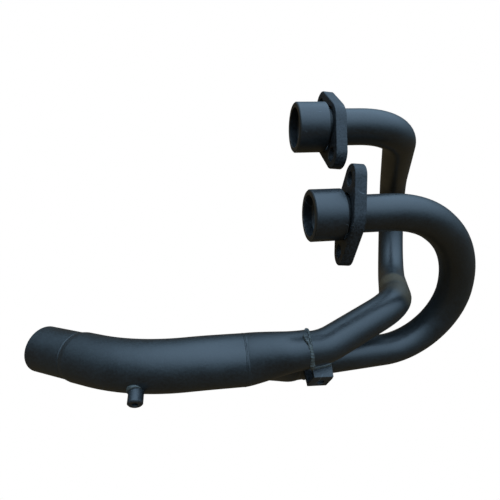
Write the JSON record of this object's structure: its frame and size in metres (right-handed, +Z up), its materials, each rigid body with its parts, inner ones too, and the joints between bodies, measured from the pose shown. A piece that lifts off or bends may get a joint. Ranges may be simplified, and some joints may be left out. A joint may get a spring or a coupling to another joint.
{
  "type": "motorcycle exhaust header",
  "caption": "Black steel exhaust header that joins the engine's exhaust ports through bent primary tubes and a merge collector into a single tail tube with a silencer stub.",
  "frame": {"origin": "centre of the right port sleeve's open mouth, where it seals against the engine's exhaust port", "axes": "+X runs forward along both port sleeves, away from the engine; +Z is up in the picture's sense, in the plane of the right tube's U bend; +Y points to the left, towards the other port"},
  "size_m": [0.4043, 0.2191, 0.2355],
  "materials": {
    "tube_paint": "matte high-temperature black paint on bent steel tube",
    "collector_paint": "matte high-temperature black paint on pressed steel",
    "sleeve_paint": "matte high-temperature black paint on turned steel",
    "plate_paint": "matte high-temperature black paint on thick plate",
    "bracket_paint": "matte high-temperature black paint on folded sheet",
    "weld_paint": "matte high-temperature black paint over weld beads"
  },
  "bodies": {
    "root": {"right_port_sleeve": "sleeve_paint", "left_port_sleeve": "sleeve_paint", "right_sleeve_weld": "weld_paint", "left_sleeve_weld": "weld_paint", "right_port_flange": "plate_paint", "left_port_flange": "plate_paint", "right_primary_tube": "tube_paint", "left_primary_tube": "tube_paint", "merge_collector": "collector_paint", "right_mouth_weld": "weld_paint", "left_mouth_weld": "weld_paint", "collector_seam_weld": "weld_paint", "tail_tube": "tube_paint", "outlet_spigot": "tube_paint", "outlet_weld": "weld_paint", "rear_shield_boss": "bracket_paint", "rear_boss_weld": "weld_paint", "front_shield_bracket": "bracket_paint", "bracket_upper_weld": "weld_paint", "bracket_lower_weld": "weld_paint"}
  },
  "joints": []
}
